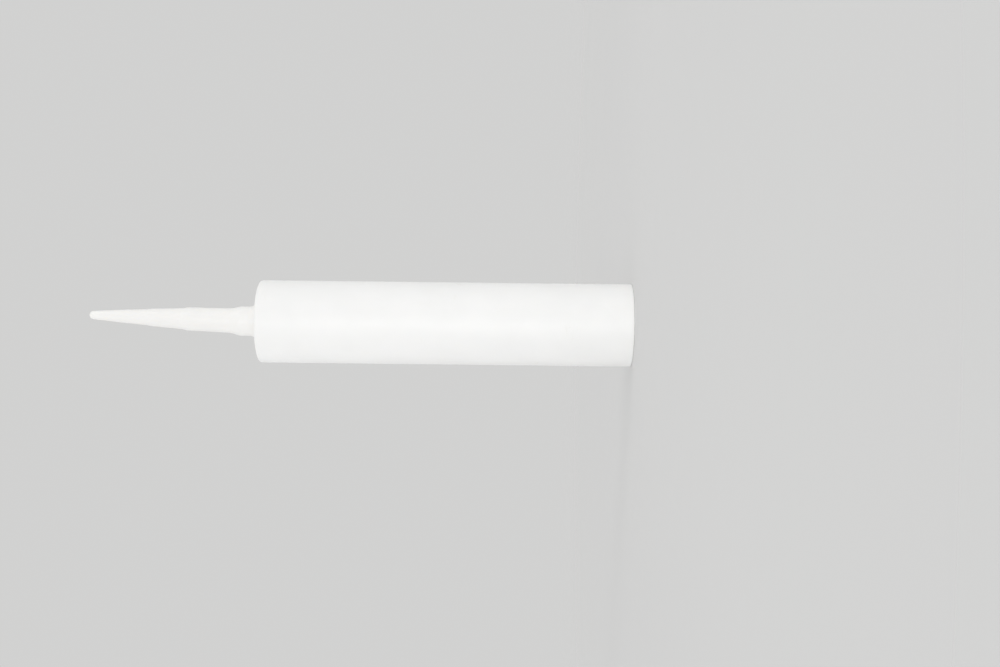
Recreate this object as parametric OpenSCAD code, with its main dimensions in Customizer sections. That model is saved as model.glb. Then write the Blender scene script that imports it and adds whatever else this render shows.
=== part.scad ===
// Caulk tube: a moulded cartridge of sealant with a sliding piston at its rear end and a
// long stepped nozzle that screws onto a threaded spout at its front end.
// It stands on its rear rim. The origin is at the centre of that rim, and +Z runs along the
// tube to the nozzle. All lengths are in millimetres.

/* [Barrel] */
// Outside diameter of the barrel
barrel_d = 48; // [40:0.5:60]
// Length from the rear rim to the front rim
barrel_l = 216; // [150:1:300]
// Wall of the barrel
barrel_wall = 1.4; // [1:0.1:2.2]
// Rounding of the barrel's front corner
corner_r = 3; // [1.5:0.25:3.5]
// Chamfer on both edges of the rear rim
rim_chamfer = 0.3; // [0.1:0.05:0.4]
// Length of the wider lead-in at the rear end of the bore
lead_in_l = 11; // [4:0.5:29]
// Radial step from the bore to its lead-in
lead_in_step = 0.15; // [0.05:0.05:0.3]

/* [Front wall] */
// Thickness of the wall that closes the front
front_wall = 2; // [1.5:0.1:3]
// Width of the raised rim round the front face
rim_w = 5; // [4:0.25:7]
// Depth of the ring-shaped recess between the rim and the spout's boss
recess_depth = 1.6; // [1:0.1:2.5]
// Diameter of the boss that the spout stands on
boss_d = 20; // [19:0.5:24]
// Number of radial ribs across the recess
rib_count = 12; // [6:1:20]
// Thickness of each radial rib
rib_t = 1.2; // [0.8:0.1:2]

/* [Spout] */
// Height of the spout above the front rim
spout_h = 12.2; // [10:0.2:18]
// Diameter of the spout under its thread
spout_d = 12.9; // [11:0.1:13.5]
// Diameter of the hole through the spout
spout_bore_d = 9; // [6:0.25:9.5]

/* [Thread] */
// Rise of the thread in one turn
thread_pitch = 3; // [2.8:0.1:4]
// Depth of the thread on the spout and in the nozzle
thread_depth = 0.75; // [0.5:0.05:0.9]
// Width of each thread at its root
thread_root_w = 1.6; // [1.2:0.05:1.65]
// Width of each thread at its crest
thread_crest_w = 0.9; // [0.6:0.05:1]
// Radial gap between the spout and the nozzle
thread_gap = 0.2; // [0.15:0.05:0.4]

/* [Nozzle] */
// Length of the nozzle from its lower edge to its tip
nozzle_l = 99.2; // [90:0.1:130]
// Outside diameter of the skirt
skirt_d = 17.1; // [16.8:0.1:18]
// Length of the skirt with its flange
skirt_l = 10.1; // [9:0.1:14]
// Diameter of the flange at the skirt's foot
flange_d = 20; // [19:0.1:22]
// Height of the flange's straight edge
flange_h = 2.1; // [1:0.1:3]
// Radius of the hollow curve from the flange into the skirt
flare_r = 6; // [4:0.25:8]
// Length of the curved neck between the skirt and the cone
neck_l = 7.2; // [3:0.1:8]
// Distance between the steps of the cone
step_pitch = 21; // [16:0.5:24]
// Length of the sloping shoulder at each step
step_l = 3; // [0.5:0.1:5]
// Length of the last section, from its step to the tip
tip_l = 13.7; // [10:0.1:20]
// Lower diameters of the five sections of the cone
section_base_d = [14.4, 14, 12.2, 9.4, 6.4]; // [5:0.1:20]
// Upper diameters of the five sections of the cone
section_top_d = [14.3, 13.6, 10.2, 7, 4.9]; // [4:0.1:20]
// Wall of the cone
nozzle_wall = 1.4; // [0.9:0.1:1.8]
// Diameter of the hole at the cone's root
nozzle_bore_d = 10.4; // [9:0.1:10.8]
// Angle by which the cone leans to one side of its skirt
nozzle_lean = 1.7; // [0:0.1:3]

/* [Piston] */
// Depth of the rear recess, from the rear rim to the piston
piston_depth = 12; // [6:0.5:30]
// Height of the piston
piston_h = 20; // [15:0.5:26]
// Radial gap between the piston's lips and the barrel
piston_gap = 0.05; // [0.02:0.01:0.1]
// Wall of the piston's skirt
piston_wall = 1.4; // [1:0.1:2]
// Thickness of the piston's crown
crown_t = 2; // [1.6:0.1:3]
// Height of the two sealing lips
lip_h = 1; // [0.6:0.1:1.6]
// Depth of the waist between the lips
waist_depth = 0.6; // [0.3:0.05:1]
// Diameter of the ring that the plunger presses on
push_ring_d = 20; // [12:0.5:28]
// Height of that ring and of the ribs round it
push_ring_h = 8; // [3:0.5:10]
// Number of ribs inside the piston
piston_ribs = 8; // [4:1:12]

/* [Hidden] */

$fn = 96;
eps = 0.01;

// Clearances
seat_gap = 0.3; // between the nozzle and the barrel, at the skirt's edge and at the spout's lip
fill_gap = 0.05; // between the sealant and the walls that hold it

// Barrel and front wall
barrel_r = barrel_d / 2;
bore_r = barrel_r - barrel_wall;
lead_in_r = bore_r + lead_in_step;
rim_r = barrel_r - rim_w;
recess_z = barrel_l - recess_depth;
front_z = recess_z - front_wall;
inner_corner_r = corner_r - barrel_wall;
recess_slope = recess_depth / 2;

// Spout and thread
spout_r = spout_d / 2;
spout_top = barrel_l + spout_h;
spout_fillet = 0.8;
lip_chamfer = 0.5;
thread_segs = 24; // segments in one turn
thread_sink = 0.35; // depth of a thread's root inside the wall that carries it
thread_fade = 4; // segments over which a thread's end rises
thread_clear = 1.7; // from a thread's end to the face below or above it
thread_turns = (spout_h - 2 * thread_clear) / thread_pitch;
thread_z = barrel_l + thread_clear;

// Nozzle
nozzle_z = barrel_l + seat_gap;
socket_r = spout_r + thread_depth + thread_gap;
seat_z = spout_top + seat_gap;
skirt_r = skirt_d / 2;
flange_r = flange_d / 2;
flare_a = acos(1 - (flange_r - skirt_r) / flare_r); // angle that the flare's curve turns through
socket_chamfer = 0.5;
lean_z = nozzle_z + skirt_l;
cone_l = nozzle_l - skirt_l;
last_section = len(section_base_d) - 1;
step_room = cone_l - tip_l - neck_l - step_l / 2; // from the neck's end to the last step
step_count = min(last_section, 1 + floor(step_room / step_pitch));
first_section = last_section - step_count;
neck_lap = 1; // length over which the skirt and the cone's foot overlap
neck_sink = 0.2; // depth of both overlapping ends below the surface
neck_steps = 10;
tip_steps = 8;

// Piston and sealant
piston_z = piston_depth;
lip_r = bore_r - piston_gap;
waist_r = lip_r - waist_depth;
cup_r = waist_r - piston_wall;
rib_wall = 1.2;
crown_rise = 0.8;
groove_w = 1;
groove_depth = 1;
crown_z = piston_z + piston_h;
slug_gap = 0.3;
slug_l = 5;

// Points of a circular arc about c, from angle a0 to angle a1
function arc(c, r, a0, a1, steps = 8) =
    [for (i = [0 : steps]) let (a = a0 + (a1 - a0) * i / steps) c + r * [cos(a), sin(a)]];

// One of the ribs' places round the axis
module around(count) {
    for (i = [0 : count - 1])
        rotate([0, 0, (i + 0.5) * 360 / count]) children();
}

// A right-hand helical ridge of trapezoid section that fades out at both ends. Its root lies
// inside the wall that carries it: that wall has radius wall_r, and the crest has crest_r.
module helical_ridge(wall_r, crest_r, z) {
    out = sign(crest_r - wall_r);
    root_r = wall_r - out * thread_sink;
    hidden_r = wall_r - out * thread_sink / 2;
    count = round(thread_turns * thread_segs);
    function share(i) = min(i, count - i, thread_fade) / thread_fade;
    function ring(i) =
        let (
            a = 360 * i / thread_segs,
            r = hidden_r + (crest_r - hidden_r) * share(i),
            mid = z + thread_pitch * i / thread_segs
        )
        [for (p = [[root_r, -thread_root_w], [r, -thread_crest_w],
                   [r, thread_crest_w], [root_r, thread_root_w]])
            [p[0] * cos(a), p[0] * sin(a), mid + p[1] / 2]];
    points = [for (i = [0 : count]) each ring(i)];
    sides = [for (i = [0 : count - 1], k = [0 : 3])
        let (a = 4 * i + k, b = 4 * i + (k + 1) % 4) each [[a, b, b + 4], [a, b + 4, a + 4]]];
    ends = [[0, 2, 1], [0, 3, 2], [4 * count, 4 * count + 1, 4 * count + 2],
        [4 * count, 4 * count + 2, 4 * count + 3]];
    faces = [for (f = concat(sides, ends)) out > 0 ? f : [f[0], f[2], f[1]]];
    polyhedron(points, faces, convexity = 6);
}

// The barrel's wall, its front wall with rim and boss, and the spout, as one turned outline
module barrel_outline() {
    polygon(concat(
        [[bore_r, lead_in_l], [lead_in_r, lead_in_l - 2 * lead_in_step],
            [lead_in_r, rim_chamfer], [lead_in_r + rim_chamfer, 0],
            [barrel_r - rim_chamfer, 0], [barrel_r, rim_chamfer]],
        arc([barrel_r - corner_r, barrel_l - corner_r], corner_r, 0, 90),
        [[rim_r, barrel_l], [rim_r - recess_slope, recess_z],
            [boss_d / 2 + recess_slope, recess_z], [boss_d / 2, barrel_l]],
        arc([spout_r + spout_fillet, barrel_l + spout_fillet], spout_fillet, 270, 180),
        [[spout_r, spout_top - lip_chamfer], [spout_r - lip_chamfer, spout_top],
            [spout_bore_d / 2, spout_top], [spout_bore_d / 2, front_z]],
        arc([bore_r - inner_corner_r, front_z - inner_corner_r], inner_corner_r, 90, 0)));
}

module barrel() {
    color([0.96, 0.96, 0.95])
        union() {
            rotate_extrude() barrel_outline();
            around(rib_count) front_rib();
            helical_ridge(spout_r, spout_r + thread_depth, thread_z);
        }
}

// A rib that fills the recess from the boss to the rim, level with both
module front_rib() {
    translate([boss_d / 2 - eps, -rib_t / 2, recess_z - eps])
        cube([rim_r - boss_d / 2 + 2 * eps, rib_t, recess_depth]);
}

// A cup that opens to the rear, with a sealing lip at each end and a groove behind the front lip
module piston_outline() {
    crown_edge = lip_r - piston_wall - groove_w;
    polygon([
        [0, piston_h - crown_t], [cup_r, piston_h - crown_t - crown_rise], [cup_r, 0],
        [lip_r, 0], [lip_r, lip_h], [waist_r, lip_h + 2 * waist_depth],
        [waist_r, piston_h - crown_rise - lip_h - 2 * waist_depth],
        [lip_r, piston_h - crown_rise - lip_h], [lip_r, piston_h - crown_rise],
        [lip_r - piston_wall / 2, piston_h - crown_rise],
        [crown_edge + groove_w / 2, piston_h - crown_rise - groove_depth],
        [crown_edge, piston_h - crown_rise], [0, piston_h]]);
}

module piston() {
    color([0.90, 0.91, 0.90])
        translate([0, 0, piston_z])
            union() {
                rotate_extrude() piston_outline();
                rotate_extrude() translate([push_ring_d / 2 - rib_wall, 0]) rib_outline(rib_wall);
                around(piston_ribs)
                    rotate([90, 0, 0])
                        translate([push_ring_d / 2 - rib_wall / 2, 0, -rib_wall / 2])
                            linear_extrude(rib_wall)
                                rib_outline(cup_r - (push_ring_d - rib_wall) / 2 + eps);
            }
}

// The outline of the ring or a rib under the piston's crown, which it reaches into
module rib_outline(width) {
    cup_top = piston_h - crown_t - crown_rise;
    translate([0, cup_top - push_ring_h]) square([width, push_ring_h + crown_rise]);
}

// The sealant fills the barrel from the piston's crown to the front wall, and the spout
module sealant() {
    r = bore_r - fill_gap;
    top = front_z - fill_gap;
    spout_fill_r = spout_bore_d / 2 - fill_gap;
    foot = crown_z - crown_rise + fill_gap;
    color([0.93, 0.92, 0.88])
        rotate_extrude()
            polygon(concat(
                [[0, crown_z + fill_gap], [lip_r - piston_wall - groove_w, foot], [r, foot]],
                arc([r - inner_corner_r, top - inner_corner_r], inner_corner_r, 0, 90),
                [[spout_fill_r, top], [spout_fill_r, spout_top], [0, spout_top]]));
}

// The slug of sealant that has risen out of the spout into the nozzle's root
module sealant_slug() {
    slug_r = nozzle_bore_d / 2 - slug_gap;
    dome = slug_r / 3;
    color([0.93, 0.92, 0.88])
        translate([0, 0, spout_top + fill_gap])
            rotate_extrude()
                polygon(concat(
                    [[0, 0], [slug_r, 0]],
                    [for (a = [0 : 15 : 90])
                        [slug_r * cos(a), slug_l - dome + dome * sin(a)]]));
}

// Height above the skirt of a section's lower end, in the middle of the shoulder there
function section_z(i) =
    i == first_section ? neck_l : cone_l - tip_l - (last_section - i) * step_pitch;

// Height above the skirt of a section's upper end. The last one ends where the tip rounds off.
function section_end_z(i) =
    i == last_section ? cone_l - section_top_d[i] / 2 : section_z(i + 1) - step_l / 2;

// The outside of the cone: the neck's curve, the sections with a sloping shoulder between each
// two, and a rounded closed tip. A short cone leaves out its lowest steps.
module cone_outline() {
    neck_r1 = section_base_d[first_section] / 2;
    tip_r = section_top_d[last_section] / 2;
    polygon(concat(
        [[0, -neck_lap], [skirt_r - neck_sink, -neck_lap]],
        [for (i = [0 : neck_steps])
            [skirt_r + (neck_r1 - skirt_r) * (1 - cos(180 * i / neck_steps)) / 2,
                neck_l * i / neck_steps]],
        [for (i = [first_section : last_section]) each concat(
            i == first_section ? [] : [[section_base_d[i] / 2, section_z(i) + step_l / 2]],
            i == last_section ? [] : [[section_top_d[i] / 2, section_end_z(i)]])],
        [for (i = [0 : tip_steps]) let (a = 90 * i / tip_steps)
            [tip_r * cos(a), cone_l - tip_r + tip_r * sin(a)]]));
}

// The inside of the cone, one wall in from the upper end of each section
module cone_bore() {
    root_r = nozzle_bore_d / 2;
    end_r = section_top_d[last_section] / 2 - nozzle_wall;
    polygon(concat(
        [[0, seat_z - lean_z - 1], [root_r, seat_z - lean_z - 1]],
        [for (i = [first_section : last_section])
            [min(root_r, section_top_d[i] / 2 - nozzle_wall), section_end_z(i)]],
        [[0, section_end_z(last_section) + end_r]]));
}

// The outside of the skirt: a flange that curves into a straight wall
module skirt_outline() {
    flare_z = nozzle_z + flange_h + flare_r * sin(flare_a);
    polygon(concat(
        [[0, nozzle_z], [flange_r, nozzle_z]],
        arc([skirt_r + flare_r, flare_z], flare_r, 180 + flare_a, 180),
        [[skirt_r, lean_z], [skirt_r - neck_sink, lean_z + neck_lap], [0, lean_z + neck_lap]]));
}

// The hole that takes the spout, with a lead-in chamfer at its mouth
module socket_outline() {
    polygon([[0, nozzle_z - 1], [socket_r + socket_chamfer, nozzle_z - 1],
        [socket_r + socket_chamfer, nozzle_z], [socket_r, nozzle_z + socket_chamfer],
        [socket_r, seat_z], [0, seat_z]]);
}

// Places a shape of the cone on the skirt, leaning towards +X
module leaning() {
    translate([0, 0, lean_z]) rotate([0, nozzle_lean, 0]) children();
}

module nozzle() {
    color([0.97, 0.97, 0.95])
        union() {
            difference() {
                union() {
                    rotate_extrude() skirt_outline();
                    leaning() rotate_extrude() cone_outline();
                }
                rotate_extrude() socket_outline();
                leaning() rotate_extrude() cone_bore();
            }
            helical_ridge(socket_r, socket_r - thread_depth, thread_z + thread_pitch / 2);
        }
}

barrel();
piston();
sealant();
sealant_slug();
nozzle();
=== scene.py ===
import math

import bmesh
import bpy
from mathutils import Matrix, Vector


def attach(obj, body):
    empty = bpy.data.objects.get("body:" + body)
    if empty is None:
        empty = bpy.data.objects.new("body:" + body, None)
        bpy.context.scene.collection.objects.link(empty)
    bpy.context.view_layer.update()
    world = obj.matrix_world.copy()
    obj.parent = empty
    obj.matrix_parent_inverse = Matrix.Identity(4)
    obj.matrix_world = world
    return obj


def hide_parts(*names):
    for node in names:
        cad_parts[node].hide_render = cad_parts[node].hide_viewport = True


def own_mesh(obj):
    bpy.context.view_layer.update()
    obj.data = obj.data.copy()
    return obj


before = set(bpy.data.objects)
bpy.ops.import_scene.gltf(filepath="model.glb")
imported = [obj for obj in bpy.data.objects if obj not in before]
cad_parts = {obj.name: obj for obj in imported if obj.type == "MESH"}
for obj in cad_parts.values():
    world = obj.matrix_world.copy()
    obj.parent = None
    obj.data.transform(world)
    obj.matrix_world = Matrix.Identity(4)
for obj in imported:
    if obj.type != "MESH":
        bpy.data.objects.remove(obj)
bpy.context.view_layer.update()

# A caulk tube: a moulded cartridge of sealant with a piston in its open rear end and a stepped
# nozzle screwed onto the spout at its front. It stands on its rear rim. Sizes are named here in
# millimetres, as in the part's source but with radii for diameters. Meshes are made in metres.

MM = 0.001

# Barrel
BARREL_R = 24.0
BARREL_L = 216.0
BARREL_WALL = 1.4
BORE_R = BARREL_R - BARREL_WALL
LEAD_IN_L = 11.0
LEAD_IN_STEP = 0.15
LEAD_IN_R = BORE_R + LEAD_IN_STEP
CORNER_R = 3.0
INNER_CORNER_R = CORNER_R - BARREL_WALL

# Front wall. Its ribs end a little below the rim.
FRONT_WALL = 2.0
RIM_W = 5.0
RIM_R = BARREL_R - RIM_W
BOSS_R = 10.0
RECESS_DEPTH = 1.6
RECESS_SLOPE = RECESS_DEPTH / 2
RECESS_Z = BARREL_L - RECESS_DEPTH
FRONT_Z = RECESS_Z - FRONT_WALL
RIB_COUNT = 12
RIB_T = 1.2
RIB_LOW = 0.05

# Spout
SPOUT_H = 12.2
SPOUT_TOP = BARREL_L + SPOUT_H
SPOUT_R = 6.45
SPOUT_BORE_R = 4.5
SPOUT_FILLET = 0.8

# Thread. Its root sinks into the wall, and it fades out over the taper's part of a turn.
THREAD_PITCH = 3.0
THREAD_DEPTH = 0.75
THREAD_GAP = 0.2
THREAD_ROOT_W = 1.6
THREAD_CREST_W = 0.9
THREAD_EDGE_R = 0.15
THREAD_SINK = 0.35
THREAD_FOOT = 1.7
THREAD_Z = BARREL_L + THREAD_FOOT
THREAD_TURNS = 70 / 24
THREAD_TAPER = 4 / 24
THREAD_SEGMENTS = 280

# Nozzle
SEAT_GAP = 0.3
NOZZLE_L = 99.2
NOZZLE_Z = BARREL_L + SEAT_GAP
SEAT_Z = SPOUT_TOP + SEAT_GAP
TIP_Z = NOZZLE_Z + NOZZLE_L
SOCKET_R = SPOUT_R + THREAD_DEPTH + THREAD_GAP
SOCKET_CHAMFER = 0.5
FLANGE_R = 10.0
FLANGE_H = 2.1
FLARE_R = 6.0
SKIRT_R = 8.55
SKIRT_L = 10.1
SKIRT_Z = NOZZLE_Z + SKIRT_L
NECK_L = 7.2
NOZZLE_LEAN = math.radians(1.7)
STEP_PITCH = 21.0
STEP_L = 3.0
STEP_ROUND = 12.0
TIP_L = 13.7
STEP_Z = [TIP_Z - TIP_L - STEP_PITCH * k for k in (3, 2, 1, 0)]
SECTION_BASE_R = [7.2, 7.0, 6.1, 4.7, 3.2]
SECTION_TOP_R = [7.15, 6.8, 5.1, 3.5, 2.45]
NOZZLE_WALL = 1.4
NOZZLE_BORE_R = 5.2

# Piston. The stub of the gate, where the plastic went in, stands under its crown.
PISTON_Z = 12.0
PISTON_H = 20.0
PISTON_GAP = 0.05
PISTON_WALL = 1.4
LIP_R = BORE_R - PISTON_GAP
LIP_H = 1.0
LIP_T = 0.7
WAIST_DEPTH = 0.6
WAIST_R = LIP_R - WAIST_DEPTH
CUP_R = WAIST_R - PISTON_WALL
CROWN_T = 2.0
CROWN_RISE = 0.8
CROWN_EDGE_R = 20.15
INNER_RISE = 0.75
GROOVE_DEPTH = 1.0
GATE_R = 1.5
GATE_H = 0.4
PUSH_RING_R = 10.0
PUSH_RING_H = 8.0
PISTON_RIBS = 8

# Sealant. Its face in the spout ends below the lip by the three depths given: at the wall, at a
# ring round the middle, and in the middle.
FILL_GAP = 0.05
UNEVEN_ROOM = 0.03
SPLIT_GAP = 0.02
FACE_RING_R = 2.2
FACE_RING_ROUND = 2.0
FACE_DEPTHS = (0.35, 0.12, 0.2)
SLUG_R = 4.86
SLUG_SIDE = 3.0
SLUG_DOME = 1.8
SLUG_FOOT_R = 0.4
SLUG_SHOULDER_R = 0.8

# Roundings of moulded edges
FINE_R = 0.2
EDGE_R = 0.3
SOFT_R = 0.5

# How meshes are cleaned and shaded: metres and degrees
MERGE_DISTANCE = 1e-6
NO_LENGTH = 1e-7
SHARP_ANGLE = 35
PASTE_SHARP_ANGLE = 80


def new_object(name, data):
    """A new object in the scene, at the origin."""
    piece = bpy.data.objects.new(name, data)
    bpy.context.scene.collection.objects.link(piece)
    return piece


# Node trees

class Wiring:
    """Adds nodes to a tree. An input is given as a plain value or as the socket that feeds it."""

    def __init__(self, tree):
        self.tree = tree

    def node(self, kind, inputs=None, **settings):
        """A new node. Its inputs are keyed by name or by place."""
        node = self.tree.nodes.new(kind)
        for name, value in settings.items():
            setattr(node, name, value)
        for key, value in (inputs or {}).items():
            if isinstance(value, bpy.types.NodeSocket):
                self.tree.links.new(value, node.inputs[key])
            else:
                node.inputs[key].default_value = value
        return node

    def out(self, kind, inputs=None, output=0, **settings):
        """One output of a new node."""
        return self.node(kind, inputs, **settings).outputs[output]

    def math(self, operation, a, b=0.0, clamp=False):
        """One or two values put through a maths operation."""
        return self.out("ShaderNodeMath", {0: a, 1: b}, operation=operation, use_clamp=clamp)

    def ramp(self, value, low, high):
        """0 up to low, 1 from high on, and a smooth rise between them."""
        return self.out("ShaderNodeMapRange", {0: value, 1: low, 2: high},
                        interpolation_type="SMOOTHSTEP")

    def mix(self, factor, a, b):
        """A mix of two colours, on the node's colour sockets."""
        return self.out("ShaderNodeMix", {0: factor, 6: a, 7: b}, output=2, data_type="RGBA")


def new_group(kind, name, inputs, outputs):
    """A node group with named sockets: its wiring, what it is given and what it puts out."""
    tree = bpy.data.node_groups.new(name, kind)
    for label, socket, value in inputs:
        item = tree.interface.new_socket(label, in_out="INPUT", socket_type=socket)
        if value is not None:
            item.default_value = value
    for label, socket in outputs:
        tree.interface.new_socket(label, in_out="OUTPUT", socket_type=socket)
    wiring = Wiring(tree)
    return wiring, wiring.node("NodeGroupInput").outputs, wiring.node("NodeGroupOutput").inputs


def sweep_tree():
    """Sweeps an outline round the axis: a full turn for a turned shell, or several rising turns
    that fade out at both ends for a thread. The result can lean to +X above a height, and can be
    made uneven."""
    w, given, result = new_group("GeometryNodeTree", "outline swept round the axis", [
        ("Outline", "NodeSocketGeometry", None),
        ("Segments", "NodeSocketInt", 96),
        ("Turns", "NodeSocketFloat", 1.0),
        ("Pitch", "NodeSocketFloat", 0.0),
        ("Foot", "NodeSocketFloat", 0.0),
        ("Taper Turns", "NodeSocketFloat", 0.0),
        ("Taper Radius", "NodeSocketFloat", 0.0),
        ("Lean", "NodeSocketFloat", 0.0),
        ("Lean Foot", "NodeSocketFloat", 0.0),
        ("Lean Length", "NodeSocketFloat", 0.005),
        ("Wobble", "NodeSocketFloat", 0.0),
        ("Wobble Scale", "NodeSocketFloat", 300.0),
        ("Material", "NodeSocketMaterial", None),
    ], [("Mesh", "NodeSocketGeometry")])
    # A grid with a row for each point of the outline and a column for each place round the axis
    count = w.out("GeometryNodeAttributeDomainSize", {0: given["Outline"]})
    columns = w.math("ADD", given["Segments"], 1.0)
    grid = w.out("GeometryNodeMeshGrid", {"Vertices X": count, "Vertices Y": columns})
    index = w.out("GeometryNodeInputIndex")
    column = w.math("MODULO", index, columns)
    row = w.math("FLOOR", w.math("DIVIDE", w.math("ADD", index, 0.5), columns))
    point = w.out("GeometryNodeSampleIndex", {
        "Geometry": given["Outline"], "Value": w.out("GeometryNodeInputPosition"), "Index": row,
    }, data_type="FLOAT_VECTOR")
    outline_r, _, outline_z = w.node("ShaderNodeSeparateXYZ", {0: point}).outputs
    # How many turns round each column is, and the share of the outline that is left there
    turn = w.math("MULTIPLY", w.math("DIVIDE", column, given["Segments"]), given["Turns"])
    from_end = w.math("MINIMUM", turn, w.math("SUBTRACT", given["Turns"], turn))
    tapers = w.math("GREATER_THAN", given["Taper Turns"], 0.0)
    cut = w.math("MULTIPLY", tapers,
                 w.math("SUBTRACT", 1.0, w.ramp(from_end, 0.0, given["Taper Turns"])))
    share = w.math("SUBTRACT", 1.0, cut)
    reach = w.math("SUBTRACT", outline_r, given["Taper Radius"])
    radius = w.math("ADD", given["Taper Radius"], w.math("MULTIPLY", reach, share))
    rise = w.math("ADD", given["Foot"], w.math("MULTIPLY", given["Pitch"], turn))
    height = w.math("ADD", rise, w.math("MULTIPLY", outline_z, w.math("SQRT", share)))
    angle = w.math("MULTIPLY", turn, math.tau)
    upright = w.out("ShaderNodeCombineXYZ", {
        0: w.math("MULTIPLY", radius, w.math("COSINE", angle)),
        1: w.math("MULTIPLY", radius, w.math("SINE", angle)),
        2: height,
    })
    # The lean sets in over its length, and the unevenness comes last
    lean_top = w.math("ADD", given["Lean Foot"], given["Lean Length"])
    lean = w.math("MULTIPLY", given["Lean"], w.ramp(height, given["Lean Foot"], lean_top))
    leaning = w.out("ShaderNodeVectorRotate", {
        "Vector": upright, "Center": w.out("ShaderNodeCombineXYZ", {2: given["Lean Foot"]}),
        "Angle": lean,
    }, rotation_type="Y_AXIS")
    noise = w.out("ShaderNodeTexNoise", {
        "Vector": leaning, "Scale": given["Wobble Scale"], "Detail": 3.0}, output="Color")
    centred = w.out("ShaderNodeVectorMath", {0: noise, 1: (0.5, 0.5, 0.5)}, operation="SUBTRACT")
    wobble = w.out("ShaderNodeVectorMath", {0: centred, "Scale": given["Wobble"]},
                   operation="SCALE")
    placed = w.out("GeometryNodeSetPosition",
                   {"Geometry": grid, "Position": leaning, "Offset": wobble})
    merged = w.out("GeometryNodeMergeByDistance", {
        "Geometry": placed, "Distance": MERGE_DISTANCE})
    whole = w.out("GeometryNodeRealizeInstances", {"Geometry": merged})
    shell = w.out("GeometryNodeSetMaterial", {"Geometry": whole, "Material": given["Material"]})
    w.tree.links.new(shell, result["Mesh"])
    return w.tree


def ring_tree():
    """Sets copies of one shape round the axis."""
    w, given, result = new_group("GeometryNodeTree", "copies set round the axis", [
        ("Shape", "NodeSocketGeometry", None),
        ("Count", "NodeSocketInt", 12),
        ("Start", "NodeSocketFloat", 0.5),
        ("Material", "NodeSocketMaterial", None),
    ], [("Mesh", "NodeSocketGeometry")])
    places = w.out("GeometryNodeMeshLine", {"Count": given["Count"], "Offset": (0.0, 0.0, 0.0)})
    share = w.math("DIVIDE", w.math("ADD", w.out("GeometryNodeInputIndex"), given["Start"]),
                   given["Count"])
    turned = w.out("FunctionNodeEulerToRotation", {
        0: w.out("ShaderNodeCombineXYZ", {2: w.math("MULTIPLY", share, math.tau)})})
    copies = w.out("GeometryNodeInstanceOnPoints", {
        "Points": places, "Instance": given["Shape"], "Rotation": turned})
    whole = w.out("GeometryNodeRealizeInstances", {"Geometry": copies})
    ring = w.out("GeometryNodeSetMaterial", {"Geometry": whole, "Material": given["Material"]})
    w.tree.links.new(ring, result["Mesh"])
    return w.tree


SWEEP = sweep_tree()
RING = ring_tree()


def evaluated_mesh(piece):
    """A plain mesh of the piece with its modifiers carried out."""
    depsgraph = bpy.context.evaluated_depsgraph_get()
    return bpy.data.meshes.new_from_object(piece.evaluated_get(depsgraph), depsgraph=depsgraph)


def cleaned(mesh, outwards=False):
    """The mesh without edges that have no length, and with its faces turned outwards if asked."""
    shape = bmesh.new()
    shape.from_mesh(mesh)
    bmesh.ops.dissolve_degenerate(shape, dist=NO_LENGTH, edges=shape.edges)
    if outwards:
        bmesh.ops.recalc_face_normals(shape, faces=shape.faces)
    shape.to_mesh(mesh)
    shape.free()
    return mesh


def grown(name, base, tree, **values):
    """A closed plain mesh made by a node tree from a base mesh."""
    piece = new_object(name, base)
    modifier = piece.modifiers.new(tree.name, "NODES")
    modifier.node_group = tree
    for item in tree.interface.items_tree:
        key = item.name.replace(" ", "_").lower()
        if item.in_out == "INPUT" and key in values:
            modifier[item.identifier] = values[key]
    mesh = evaluated_mesh(piece)
    piece.modifiers.clear()
    piece.data = cleaned(mesh, outwards=True)
    return piece


def united(piece, *others):
    """One closed mesh from closed parts that reach into each other."""
    for other in others:
        modifier = piece.modifiers.new("unite", "BOOLEAN")
        modifier.operation = "UNION"
        modifier.solver = "MANIFOLD"
        modifier.object = other
    mesh = evaluated_mesh(piece)
    piece.modifiers.clear()
    piece.data = cleaned(mesh)
    for other in others:
        bpy.data.objects.remove(other)
    return piece


def finished(piece, body, slot, *nodes, sharp=SHARP_ANGLE):
    """The piece with smooth shading, the body it moves with and its solids, which are hidden. Its
    finish, slot, is not used.
    """
    piece.data.name = piece.name
    piece.data.shade_smooth()
    piece.data.set_sharp_from_angle(angle=math.radians(sharp))
    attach(piece, body)
    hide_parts(*nodes)
    return piece


# Outlines, as (radius, height) points in millimetres

# A corner flatter than this isn't rounded. The angle is half of the one between its two walls.
STRAIGHT = math.radians(89.5)
# The most that a rounding takes of a wall, and where its support point stands
WALL_SHARE = 0.4
SUPPORT = 1.25


def rounded(corners, closed=True, steps=6, longest=6.0):
    """The outline through (radius, height, rounding) corners, each one rounded, with a support
    point beside each rounding and with long walls divided."""
    points = []
    count = len(corners)
    for i, (radius, height, rounding) in enumerate(corners):
        corner = Vector((radius, height))
        before = Vector(corners[i - 1][:2]) - corner
        after = Vector(corners[(i + 1) % count][:2]) - corner
        half = before.angle(after) / 2
        end = not closed and i in (0, count - 1)
        if rounding == 0 or end or half > STRAIGHT:
            points.append(corner)
            continue
        shorter = min(before.length, after.length)
        reach = min(rounding / math.tan(half), WALL_SHARE * shorter)
        before, after = before.normalized(), after.normalized()
        curve_r = reach * math.tan(half)
        centre = corner + (before + after).normalized() * curve_r / math.sin(half)
        first = corner + before * reach - centre
        last = corner + after * reach - centre
        start = math.atan2(first.y, first.x)
        sweep = math.remainder(math.atan2(last.y, last.x) - start, math.tau)
        points.append(corner + before * reach * SUPPORT)
        for k in range(steps + 1):
            a = start + sweep * k / steps
            points.append(centre + Vector((math.cos(a), math.sin(a))) * curve_r)
        points.append(corner + after * reach * SUPPORT)
    if closed:
        points.append(points[0])
    divided = [points[0]]
    for a, b in zip(points, points[1:]):
        parts = max(1, math.ceil((b - a).length / longest))
        divided += [a.lerp(b, k / parts) for k in range(1, parts + 1)]
    return divided


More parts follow.
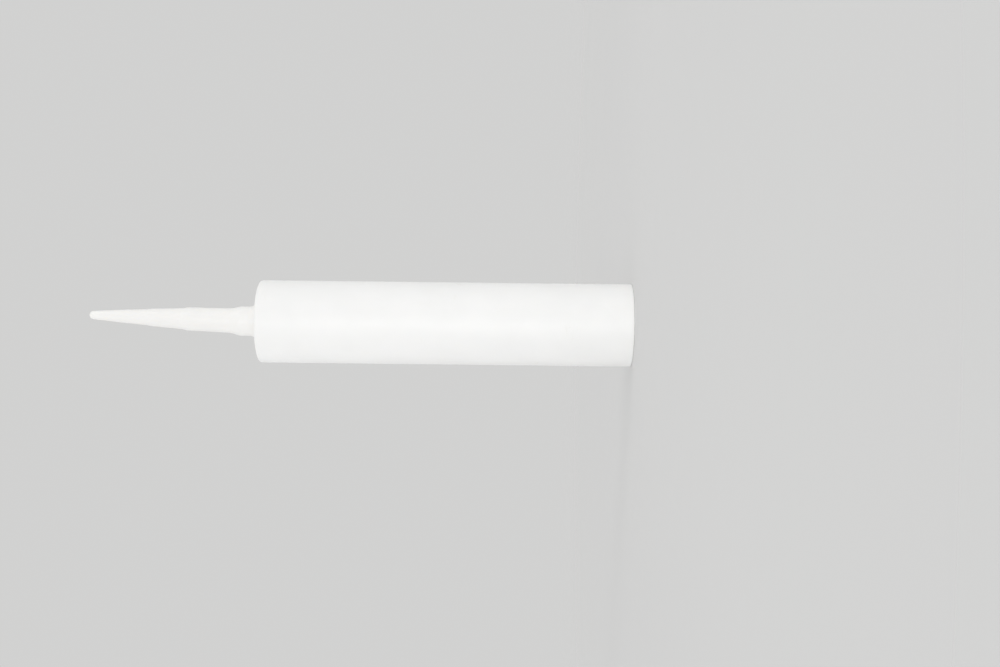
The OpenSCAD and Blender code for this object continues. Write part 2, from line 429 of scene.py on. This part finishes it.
def turned_through(angle, steps):
    """Angles from zero to the given one, in equal steps."""
    return [angle * k / steps for k in range(steps + 1)]


def outline_mesh(name, points):
    """The outline's points as a base mesh in the plane y = 0, in metres."""
    mesh = bpy.data.meshes.new(name)
    mesh.from_pydata([(p[0] * MM, 0.0, p[1] * MM) for p in points], [], [])
    return mesh


def bevelled_bar(name, low, high, bevel):
    """A bar between two corners with rounded edges, as a base mesh."""
    shape = bmesh.new()
    bmesh.ops.create_cube(shape, size=1.0)
    low, high = Vector(low) * MM, Vector(high) * MM
    for v in shape.verts:
        v.co = Vector([(low[k] + high[k]) / 2 + v.co[k] * (high[k] - low[k]) for k in range(3)])
    bmesh.ops.bevel(shape, geom=shape.edges, offset=bevel * MM, segments=3, affect="EDGES",
                    profile=0.5)
    mesh = bpy.data.meshes.new(name)
    shape.to_mesh(mesh)
    shape.free()
    return mesh


# Effects that several materials share

FLOAT, VECTOR = "NodeSocketFloat", "NodeSocketVector"


def skin_group():
    """The skin of moulded plastic: a fine grain, long soft draw lines and uneven gloss."""
    w, given, result = new_group("ShaderNodeTree", "moulded skin", [
        ("Position", VECTOR, None), ("Grain Scale", FLOAT, 1500.0), ("Draw Scale", FLOAT, 260.0),
        ("Draw Stretch", FLOAT, 0.08), ("Draw Share", FLOAT, 0.6), ("Patch Scale", FLOAT, 38.0)],
        [("Height", FLOAT), ("Gloss", FLOAT), ("Tone", FLOAT)])
    grain = w.out("ShaderNodeTexNoise", {
        "Vector": given["Position"], "Scale": given["Grain Scale"], "Detail": 3.0})
    stretch = w.out("ShaderNodeCombineXYZ", {0: 1.0, 1: 1.0, 2: given["Draw Stretch"]})
    pulled = w.out("ShaderNodeVectorMath", {0: given["Position"], 1: stretch},
                   operation="MULTIPLY")
    lines = w.out("ShaderNodeTexNoise", {
        "Vector": pulled, "Scale": given["Draw Scale"], "Detail": 4.0, "Roughness": 0.55})
    patches = w.out("ShaderNodeTexNoise", {
        "Vector": given["Position"], "Scale": given["Patch Scale"], "Detail": 2.0})
    height = w.out("ShaderNodeMix", {0: given["Draw Share"], 2: grain, 3: lines})
    w.tree.links.new(height, result["Height"])
    w.tree.links.new(w.math("ADD", w.math("MULTIPLY", lines, 0.5),
                            w.math("MULTIPLY", patches, 0.5)), result["Gloss"])
    w.tree.links.new(w.ramp(patches, 0.3, 0.7), result["Tone"])
    return w.tree


def rub_marks_group():
    """Fine rub marks in patches, as a mask."""
    w, given, result = new_group("ShaderNodeTree", "rub marks", [
        ("Position", VECTOR, None), ("Scale", FLOAT, 120.0), ("Width", FLOAT, 0.012),
        ("Amount", FLOAT, 0.5), ("Patch Scale", FLOAT, 55.0)], [("Mask", FLOAT)])
    along = ((1.0, 1.0, 0.12), 0.35)
    across = ((0.14, 0.14, 1.0), -0.5)
    strokes = None
    for stretch, turn in (along, across):
        turned = w.out("ShaderNodeVectorRotate", {
            "Vector": given["Position"], "Angle": turn}, rotation_type="X_AXIS")
        pulled = w.out("ShaderNodeVectorMath", {0: turned, 1: stretch}, operation="MULTIPLY")
        field = w.out("ShaderNodeTexNoise", {
            "Vector": pulled, "Scale": given["Scale"], "Detail": 1.0})
        near = w.math("ABSOLUTE", w.math("SUBTRACT", field, 0.5))
        line = w.math("SUBTRACT", 1.0, w.ramp(near, 0.0, given["Width"]))
        strokes = line if strokes is None else w.math("MAXIMUM", strokes, line)
    patch = w.out("ShaderNodeTexNoise", {
        "Vector": given["Position"], "Scale": given["Patch Scale"], "Detail": 2.0})
    # The larger the amount, the more of the surface has patches with marks
    low = w.math("SUBTRACT", 0.75, w.math("MULTIPLY", given["Amount"], 0.3))
    where = w.ramp(patch, low, w.math("ADD", low, 0.12))
    w.tree.links.new(w.math("MULTIPLY", strokes, where), result["Mask"])
    return w.tree


def edge_wear_group():
    """Handling wear along a round edge of the given radius and height, as a mask."""
    w, given, result = new_group("ShaderNodeTree", "edge wear", [
        ("Position", VECTOR, None), ("Radius", FLOAT, 0.024), ("Height", FLOAT, 0.0),
        ("Reach", FLOAT, 0.0012), ("Speck Scale", FLOAT, 900.0)], [("Mask", FLOAT)])
    part = w.node("ShaderNodeSeparateXYZ", {0: given["Position"]}).outputs
    flat = w.out("ShaderNodeCombineXYZ", {0: part[0], 1: part[1]})
    radius = w.out("ShaderNodeVectorMath", {0: flat}, output="Value", operation="LENGTH")
    away = w.out("ShaderNodeVectorMath", {0: w.out("ShaderNodeCombineXYZ", {
        0: w.math("SUBTRACT", radius, given["Radius"]),
        1: w.math("SUBTRACT", part[2], given["Height"])})}, output="Value", operation="LENGTH")
    near = w.math("SUBTRACT", 1.0, w.ramp(away, 0.0, given["Reach"]))
    specks = w.out("ShaderNodeTexNoise", {
        "Vector": given["Position"], "Scale": given["Speck Scale"], "Detail": 4.0,
        "Roughness": 0.6})
    w.tree.links.new(w.math("MULTIPLY", near, w.ramp(specks, 0.45, 0.7)), result["Mask"])
    return w.tree


def parting_line_group():
    """The thin raised line where the two halves of a mould met, in the plane y = 0, as a mask."""
    w, given, result = new_group("ShaderNodeTree", "parting line", [
        ("Position", VECTOR, None), ("Width", FLOAT, 0.00018), ("Wander", FLOAT, 0.0001),
        ("Wander Scale", FLOAT, 90.0)], [("Mask", FLOAT)])
    wander = w.out("ShaderNodeTexNoise", {
        "Vector": given["Position"], "Scale": given["Wander Scale"]})
    y = w.out("ShaderNodeSeparateXYZ", {0: given["Position"]}, output="Y")
    shift = w.math("MULTIPLY", w.math("SUBTRACT", wander, 0.5), given["Wander"])
    away = w.math("ABSOLUTE", w.math("ADD", y, shift))
    w.tree.links.new(w.math("SUBTRACT", 1.0, w.ramp(away, 0.0, given["Width"])), result["Mask"])
    return w.tree


SKIN = skin_group()
RUB_MARKS = rub_marks_group()
EDGE_WEAR = edge_wear_group()
PARTING_LINE = parting_line_group()


# What worn places do: how far their colour goes to the duller one, the tint of that colour, how
# much rougher they are, and how deep a rub mark is as a share of the grain's height
DULLED = 0.5
DULL_TINT = (0.90, 0.89, 0.86)
WORN_ROUGHER = 0.18
MARK_DEPTH = 0.35

POLYETHYLENE_IOR = 1.51
SEALANT_IOR = 1.41
BUBBLE_DEPTH = 0.5


def new_material(name):
    """A material with its wiring, its shader and the position on the piece."""
    material = bpy.data.materials.new(name)
    material.use_nodes = True
    w = Wiring(material.node_tree)
    shader = material.node_tree.nodes["Principled BSDF"]
    position = w.out("ShaderNodeTexCoord", output="Object")
    return material, w, shader, position


def use(w, group, **inputs):
    """The outputs of a shared group placed in a material."""
    node = w.node("ShaderNodeGroup", node_tree=group)
    for key, value in inputs.items():
        socket = node.inputs[key.replace("_", " ").title()]
        if isinstance(value, bpy.types.NodeSocket):
            w.tree.links.new(value, socket)
        else:
            socket.default_value = value
    return node.outputs


def bump(w, shader, height, distance):
    """Feeds a height to the shader as bump. The distance is that of a height of one."""
    normal = w.out("ShaderNodeBump", {"Height": height, "Distance": distance, "Strength": 1.0})
    w.tree.links.new(normal, shader.inputs["Normal"])


def let_light_in(shader, ior, weight, depth):
    """Sets how much light enters the surface and how deep, red a little deeper than blue."""
    shader.inputs["IOR"].default_value = ior
    shader.inputs["Subsurface Weight"].default_value = weight
    shader.inputs["Subsurface Radius"].default_value = (1.0, 0.95, 0.85)
    shader.inputs["Subsurface Scale"].default_value = depth


def plastic(name, light, shade, roughness, spread, grain, depth, soft, soft_depth, draw, marks,
            edges=(), reach=1.2, seam=0.0):
    """Moulded polyethylene. Light and shade are its two close tones, roughness and spread its
    gloss and how much that varies, grain and depth the scale and height of its grain, soft and
    soft_depth how much light enters it and how deep, draw the share of draw lines in the grain
    and marks the amount of rub marks. Edges are the radius and height of its worn edges and reach
    how far their wear goes, in millimetres, and seam is the height of its parting line as a
    multiple of depth."""
    material, w, shader, position = new_material(name)
    skin = use(w, SKIN, position=position, grain_scale=grain, draw_share=draw)
    rubbed = use(w, RUB_MARKS, position=position, amount=marks)["Mask"]
    worn = rubbed
    for radius, height in edges:
        edge = use(w, EDGE_WEAR, position=position, radius=radius * MM, height=height * MM,
                   reach=reach * MM)
        worn = w.math("MAXIMUM", worn, edge["Mask"])
    tone = w.mix(skin["Tone"], (*shade, 1.0), (*light, 1.0))
    dull = [c * tint for c, tint in zip(shade, DULL_TINT)]
    colour = w.mix(w.math("MULTIPLY", worn, DULLED), tone, (*dull, 1.0))
    w.tree.links.new(colour, shader.inputs["Base Color"])
    gloss = w.math("ADD", roughness - spread / 2, w.math("MULTIPLY", skin["Gloss"], spread))
    rough = w.math("ADD", gloss, w.math("MULTIPLY", worn, WORN_ROUGHER), clamp=True)
    w.tree.links.new(rough, shader.inputs["Roughness"])
    surface = w.math("SUBTRACT", skin["Height"], w.math("MULTIPLY", rubbed, MARK_DEPTH))
    if seam:
        line = use(w, PARTING_LINE, position=position)["Mask"]
        surface = w.math("ADD", surface, w.math("MULTIPLY", line, seam))
    bump(w, shader, surface, depth)
    let_light_in(shader, POLYETHYLENE_IOR, soft, soft_depth)
    return material


def barrel_plastic():
    corner = (BARREL_R - CORNER_R / 3, BARREL_L - CORNER_R / 3)
    return plastic(
        "barrel_plastic", light=(0.925, 0.925, 0.916), shade=(0.905, 0.906, 0.897),
        roughness=0.40, spread=0.16, grain=1500.0, depth=0.00004, soft=0.10, soft_depth=0.0008,
        draw=0.7, marks=0.4, edges=((BARREL_R, 0), corner))


def nozzle_plastic():
    return plastic(
        "nozzle_plastic", light=(0.912, 0.905, 0.886), shade=(0.892, 0.885, 0.866),
        roughness=0.32, spread=0.12, grain=2000.0, depth=0.00003, soft=0.20, soft_depth=0.0012,
        draw=0.5, marks=0.3, edges=((FLANGE_R, NOZZLE_Z), (FLANGE_R, NOZZLE_Z + FLANGE_H)),
        reach=0.5, seam=2.0)


def piston_plastic():
    return plastic(
        "piston_plastic", light=(0.83, 0.84, 0.83), shade=(0.80, 0.81, 0.80),
        roughness=0.50, spread=0.12, grain=1200.0, depth=0.00005, soft=0.15, soft_depth=0.0012,
        draw=0.4, marks=0.5, edges=((LIP_R, PISTON_Z),))


def sealant_paste():
    """Wet sealant: soft folds, small bubbles and a gloss that varies."""
    material, w, shader, position = new_material("sealant_paste")
    folds = w.out("ShaderNodeTexNoise", {
        "Vector": position, "Scale": 420.0, "Detail": 3.0, "Distortion": 0.8})
    cells = w.out("ShaderNodeTexVoronoi", {"Vector": position, "Scale": 900.0})
    bubbles = w.math("SUBTRACT", 1.0, w.ramp(cells, 0.08, 0.2))
    tone = w.mix(folds, (0.86, 0.85, 0.81, 1.0), (0.90, 0.89, 0.86, 1.0))
    w.tree.links.new(tone, shader.inputs["Base Color"])
    rough = w.math("ADD", 0.16, w.math("MULTIPLY", folds, 0.22))
    w.tree.links.new(rough, shader.inputs["Roughness"])
    surface = w.math("SUBTRACT", folds, w.math("MULTIPLY", bubbles, BUBBLE_DEPTH))
    bump(w, shader, surface, distance=0.00015)
    let_light_in(shader, SEALANT_IOR, weight=0.25, depth=0.001)
    return material


# Pieces

def thread(name, wall_r, crest_r, foot, material):
    """A right-hand thread whose root lies in the wall and whose ends fade into it. It stands out
    of a wall or into a socket, on the side where its crest is."""
    side = math.copysign(1.0, crest_r - wall_r)
    root_r = wall_r - side * THREAD_SINK
    corners = [
        (root_r, -THREAD_ROOT_W / 2, 0), (crest_r, -THREAD_CREST_W / 2, THREAD_EDGE_R),
        (crest_r, THREAD_CREST_W / 2, THREAD_EDGE_R), (root_r, THREAD_ROOT_W / 2, 0)]
    return grown(
        name, outline_mesh(name, rounded(corners, steps=3)), SWEEP, segments=THREAD_SEGMENTS,
        turns=THREAD_TURNS, pitch=THREAD_PITCH * MM, foot=foot * MM, taper_turns=THREAD_TAPER,
        taper_radius=(wall_r - side * THREAD_SINK / 2) * MM, material=material)


def barrel(material):
    """The barrel's wall, front wall, rim and spout, with the ribs in its front recess."""
    # From the bore's lead-in round the outside, over the front face and the spout, and back inside
    shell = grown("barrel_moulding", outline_mesh("barrel_outline", rounded([
        (BORE_R, LEAD_IN_L, EDGE_R), (LEAD_IN_R, LEAD_IN_L - EDGE_R, EDGE_R),
        (LEAD_IN_R, 0, EDGE_R), (BARREL_R, 0, EDGE_R), (BARREL_R, BARREL_L, CORNER_R),
        (RIM_R, BARREL_L, EDGE_R), (RIM_R - RECESS_SLOPE, RECESS_Z, SOFT_R),
        (BOSS_R + RECESS_SLOPE, RECESS_Z, SOFT_R), (BOSS_R, BARREL_L, EDGE_R),
        (SPOUT_R, BARREL_L, SPOUT_FILLET), (SPOUT_R, SPOUT_TOP, SOFT_R),
        (SPOUT_BORE_R, SPOUT_TOP, FINE_R), (SPOUT_BORE_R, FRONT_Z, EDGE_R),
        (BORE_R, FRONT_Z, INNER_CORNER_R)])), SWEEP, segments=192, material=material)
    rib = bevelled_bar("front_rib", (BOSS_R - RIB_T, -RIB_T / 2, RECESS_Z - RIB_T / 2),
                       (RIM_R + RIB_T, RIB_T / 2, BARREL_L - RIB_LOW), EDGE_R)
    ribs = grown("front_ribs", rib, RING, count=RIB_COUNT, start=0.5, material=material)
    ridge = thread("spout_thread", SPOUT_R, SPOUT_R + THREAD_DEPTH, THREAD_Z, material)
    return finished(united(shell, ribs, ridge), "cartridge", "barrel_plastic", "barrel")


def nozzle_outline():
    """From the tip down the outside, over the flange's edge and up the inside. The sections of
    the cone meet in soft sloping steps, and its bore narrows so that the wall stays as thick."""
    tip_r = SECTION_TOP_R[-1]
    points = []
    for a in turned_through(math.pi / 2, 10):
        points.append((tip_r * math.sin(a), TIP_Z - tip_r + tip_r * math.cos(a), 0))
    for i in reversed(range(len(STEP_Z))):
        points.append((SECTION_BASE_R[i + 1], STEP_Z[i] + STEP_L / 2, STEP_ROUND))
        points.append((SECTION_TOP_R[i], STEP_Z[i] - STEP_L / 2, STEP_ROUND))
    spread = SKIRT_R - SECTION_BASE_R[0]
    for a in turned_through(math.pi, 16):
        points.append((SECTION_BASE_R[0] + spread * (1 - math.cos(a)) / 2,
                       SKIRT_Z + NECK_L * (1 - a / math.pi), 0))
    flare_a = math.acos(1 - (FLANGE_R - SKIRT_R) / FLARE_R)
    flare_z = NOZZLE_Z + FLANGE_H + FLARE_R * math.sin(flare_a)
    for a in turned_through(flare_a, 12)[:-1]:
        points.append((SKIRT_R + FLARE_R * (1 - math.cos(a)), flare_z - FLARE_R * math.sin(a), 0))
    points += [(FLANGE_R, NOZZLE_Z + FLANGE_H, EDGE_R), (FLANGE_R, NOZZLE_Z, EDGE_R),
               (SOCKET_R + SOCKET_CHAMFER, NOZZLE_Z, FINE_R),
               (SOCKET_R, NOZZLE_Z + SOCKET_CHAMFER, FINE_R),
               (SOCKET_R, SEAT_Z, FINE_R), (NOZZLE_BORE_R, SEAT_Z, FINE_R)]
    for top_r, step_z in zip(SECTION_TOP_R, STEP_Z):
        points.append((min(NOZZLE_BORE_R, top_r - NOZZLE_WALL), step_z - STEP_L / 2, SOFT_R))
    end_r = tip_r - NOZZLE_WALL
    points += [(end_r, TIP_Z - tip_r, EDGE_R), (0, TIP_Z - tip_r + end_r, 0)]
    return rounded(points, closed=False, steps=5, longest=4.0)


def nozzle(material):
    """The nozzle: flanged skirt with its inner thread, neck, stepped cone and closed tip."""
    shell = grown("nozzle_moulding", outline_mesh("nozzle_outline", nozzle_outline()), SWEEP,
                  segments=128, lean=NOZZLE_LEAN, lean_foot=SKIRT_Z * MM,
                  lean_length=NECK_L / 2 * MM, material=material)
    ridge = thread("socket_thread", SOCKET_R, SOCKET_R - THREAD_DEPTH,
                   THREAD_Z + THREAD_PITCH / 2, material)
    return finished(united(shell, ridge), "nozzle", "nozzle_plastic", "nozzle")


def piston(material):
    """The piston: a cup with two lips, a grooved crown, the gate's stub, a push ring and ribs."""
    front = PISTON_H - CROWN_RISE
    under = front - CROWN_T
    gate_z = under + INNER_RISE - GATE_H
    # From the gate's stub down the cup's inside, up over both lips, and across groove and crown
    shell = grown("piston_moulding", outline_mesh("piston_outline", [
        (p[0], p[1] + PISTON_Z) for p in rounded([
            (0, gate_z, 0), (GATE_R, gate_z, FINE_R), (GATE_R, gate_z + GATE_H, FINE_R),
            (CUP_R, under, SOFT_R), (CUP_R, 0, EDGE_R), (LIP_R, 0, EDGE_R),
            (LIP_R, LIP_H, FINE_R), (WAIST_R, LIP_H + 2 * WAIST_DEPTH, SOFT_R),
            (WAIST_R, front - LIP_H - 2 * WAIST_DEPTH, SOFT_R), (LIP_R, front - LIP_H, FINE_R),
            (LIP_R, front, EDGE_R), (LIP_R - LIP_T, front, EDGE_R),
            (CROWN_EDGE_R + GROOVE_DEPTH / 2, front - GROOVE_DEPTH, EDGE_R),
            (CROWN_EDGE_R, front, EDGE_R), (0, PISTON_H, 0)], closed=False, steps=4)]),
        SWEEP, segments=160, material=material)
    foot = PISTON_Z + under - PUSH_RING_H
    head = PISTON_Z + under + CROWN_RISE
    ring = grown("push_ring", outline_mesh("push_ring", rounded([
        (PUSH_RING_R - RIB_T, foot, EDGE_R), (PUSH_RING_R, foot, EDGE_R), (PUSH_RING_R, head, 0),
        (PUSH_RING_R - RIB_T, head, 0)], steps=4)), SWEEP, segments=96, material=material)
    rib = bevelled_bar("piston_rib", (PUSH_RING_R - RIB_T * 0.6, -RIB_T / 2, foot + RIB_LOW),
                       (CUP_R + RIB_T / 2, RIB_T / 2, head - RIB_LOW), EDGE_R)
    ribs = grown("piston_ribs", rib, RING, count=PISTON_RIBS, start=0.5, material=material)
    return finished(united(shell, ring, ribs), "piston", "piston_plastic", "piston")


def sealant(material):
    """The sealant that fills the barrel, and the part in the spout."""
    foot = PISTON_Z + PISTON_H - CROWN_RISE + FILL_GAP
    fill_r = BORE_R - FILL_GAP
    top = FRONT_Z - FILL_GAP
    column = grown("sealant_column", outline_mesh("sealant_column", rounded([
        (0, foot + CROWN_RISE, 0), (CROWN_EDGE_R, foot, EDGE_R), (fill_r, foot, FINE_R),
        (fill_r, top, INNER_CORNER_R), (0, top, 0)], closed=False)), SWEEP, segments=96,
        material=material)
    finished(column, "cartridge", "sealant_paste", "sealant")
    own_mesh(column)
    spout_r = SPOUT_BORE_R - FILL_GAP - UNEVEN_ROOM
    split = top + SPLIT_GAP
    at_wall, at_ring, in_middle = [SPOUT_TOP - depth for depth in FACE_DEPTHS]
    fill = grown("sealant_in_spout", outline_mesh("sealant_in_spout", rounded([
        (0, split, 0), (spout_r, split, EDGE_R), (spout_r, at_wall, SOFT_R),
        (FACE_RING_R, at_ring, FACE_RING_ROUND), (0, in_middle, 0)], closed=False, longest=0.8)),
        SWEEP, segments=64, wobble=0.00012, wobble_scale=420.0, material=material)
    finished(fill, "cartridge", "sealant_paste", "sealant", sharp=PASTE_SHARP_ANGLE)


def slug(material):
    """The slug of sealant that has risen into the nozzle's root, with a soft uneven dome."""
    foot = SPOUT_TOP + 2 * FILL_GAP
    shoulder = foot + SLUG_SIDE
    points = [(0, foot, 0), (SLUG_R, foot, SLUG_FOOT_R), (SLUG_R, shoulder, SLUG_SHOULDER_R)]
    for a in turned_through(math.pi / 2, 8)[1:]:
        points.append((SLUG_R * math.cos(a), shoulder + SLUG_DOME * math.sin(a), 0))
    piece = grown("sealant_slug_piece", outline_mesh("slug", rounded(
        points, closed=False, longest=0.6)), SWEEP, segments=72, wobble=0.00008,
        wobble_scale=380.0, material=material)
    finished(piece, "slug", "sealant_paste", "sealant_slug", sharp=PASTE_SHARP_ANGLE)


def build_tube():
    """All the tube's pieces, with their materials."""
    paste = sealant_paste()
    barrel(barrel_plastic())
    piston(piston_plastic())
    sealant(paste)
    slug(paste)
    nozzle(nozzle_plastic())


# Camera, floor and light, in metres

CAMERA_PLACE = (-0.00554, -0.81, 0.0761)
CAMERA_ROLL = math.radians(0.65)
CAMERA_LENS = 50.0

FLOOR_COLOUR = (0.70, 0.70, 0.695)
BACKDROP_COLOUR = (0.64, 0.64, 0.635)
FLOOR_DROP = 0.0001
FLOOR_RINGS = (0.0234, 0.4, 4.0)
FLOOR_FADE = (0.06, 0.9)

FILL_LEVEL = 1.035
ZENITH_LEVEL = 0.72


def camera():
    """The photograph's view: the standing tube seen level from the side, turned onto its side."""
    data = bpy.data.cameras.new("camera")
    data.lens = CAMERA_LENS
    data.sensor_width = 36.0
    data.clip_start = 0.01
    view = new_object("camera", data)
    right = Vector((math.sin(CAMERA_ROLL), 0.0, -math.cos(CAMERA_ROLL)))
    up = Vector((math.cos(CAMERA_ROLL), 0.0, math.sin(CAMERA_ROLL)))
    back = Vector((0.0, -1.0, 0.0))
    place = Matrix((right, up, back)).transposed().to_4x4()
    place.translation = Vector(CAMERA_PLACE)
    view.matrix_world = place
    bpy.context.scene.camera = view


def floor_mesh():
    """A ring that starts under the barrel's wall, so that the rear recess shows from below."""
    mesh = bpy.data.meshes.new("floor")
    count = 96
    angles = turned_through(math.tau, count)[:-1]
    points = [(r * math.cos(a), r * math.sin(a), -FLOOR_DROP) for r in FLOOR_RINGS for a in angles]
    faces = [(base + k, base + count + k, base + count + (k + 1) % count, base + (k + 1) % count)
             for base in (0, count) for k in range(count)]
    mesh.from_pydata(points, [], faces)
    return mesh


def floor():
    """A pale floor that gives way to the backdrop's colour away from the tube and from below."""
    piece = new_object("floor", floor_mesh())
    material, w, shader, position = new_material("floor_paint")
    shader.inputs["Roughness"].default_value = 0.9
    shader.inputs["Specular IOR Level"].default_value = 0.1
    speckle = w.out("ShaderNodeTexNoise", {"Vector": position, "Scale": 60.0, "Detail": 4.0})
    darker = [c * 0.99 for c in FLOOR_COLOUR]
    tone = w.mix(speckle, (*darker, 1.0), (*FLOOR_COLOUR, 1.0))
    w.tree.links.new(tone, shader.inputs["Base Color"])
    distance = w.out("ShaderNodeVectorMath", {0: position}, output="Value", operation="LENGTH")
    far = w.ramp(distance, *FLOOR_FADE)
    below = w.out("ShaderNodeNewGeometry", output="Backfacing")
    clear = w.math("MAXIMUM", far, below)
    blend = w.out("ShaderNodeMixShader", {
        0: clear, 1: shader.outputs[0], 2: w.out("ShaderNodeBsdfTransparent")})
    output = w.tree.nodes["Material Output"]
    w.tree.links.new(blend, output.inputs["Surface"])
    piece.data.materials.append(material)


def area_light(name, place, target, size, watts, spread=180):
    """A round soft lamp that the camera doesn't see. The spread is in degrees."""
    data = bpy.data.lights.new(name, "AREA")
    data.shape = "DISK"
    data.size = size
    data.energy = watts
    data.spread = math.radians(spread)
    lamp = new_object(name, data)
    lamp.visible_camera = False
    direction = Vector(target) - Vector(place)
    lamp.matrix_world = (Matrix.Translation(Vector(place))
                         @ direction.to_track_quat("-Z", "Y").to_matrix().to_4x4())


def grey(level):
    """A neutral colour of the given level."""
    return (level, level, level, 1.0)


def world_light():
    """Even light from all round, weaker from above and below. The camera, gloss and glass see
    the backdrop's colour instead."""
    world = bpy.data.worlds.new("studio")
    bpy.context.scene.world = world
    world.use_nodes = True
    w = Wiring(world.node_tree)
    path = w.node("ShaderNodeLightPath").outputs
    seen = w.math("MAXIMUM", path["Is Camera Ray"],
                  w.math("MAXIMUM", path["Is Glossy Ray"], path["Is Transmission Ray"]))
    toward = w.node("ShaderNodeSeparateXYZ", {0: w.out("ShaderNodeTexCoord")}).outputs
    high = w.math("MULTIPLY", toward[2], toward[2])
    fill = w.mix(high, grey(FILL_LEVEL), grey(ZENITH_LEVEL))
    colour = w.mix(seen, fill, (*BACKDROP_COLOUR, 1.0))
    background = world.node_tree.nodes["Background"]
    w.tree.links.new(colour, background.inputs["Color"])


def light():
    """The world's even light, a soft key lamp in front, one to the side, and two small low lamps
    for the barrel's rear third."""
    world_light()
    area_light("key", (-0.15, -1.3, 0.2), (0.0, 0.0, 0.15), size=0.45, watts=1.75)
    area_light("side", (1.0, -0.5, 0.9), (0.0, 0.0, 0.15), size=0.5, watts=0.6)
    area_light("low", (-0.1, -1.1, 0.14), (0.0, 0.0, -0.02), size=0.25, watts=0.017, spread=24)
    area_light("low side", (0.9, -0.45, 0.14), (0.0, 0.0, -0.07), size=0.25, watts=0.013,
               spread=24)
    bpy.context.scene.view_settings.view_transform = "Standard"


camera()
floor()
light()
build_tube()

bpy.context.view_layer.update()
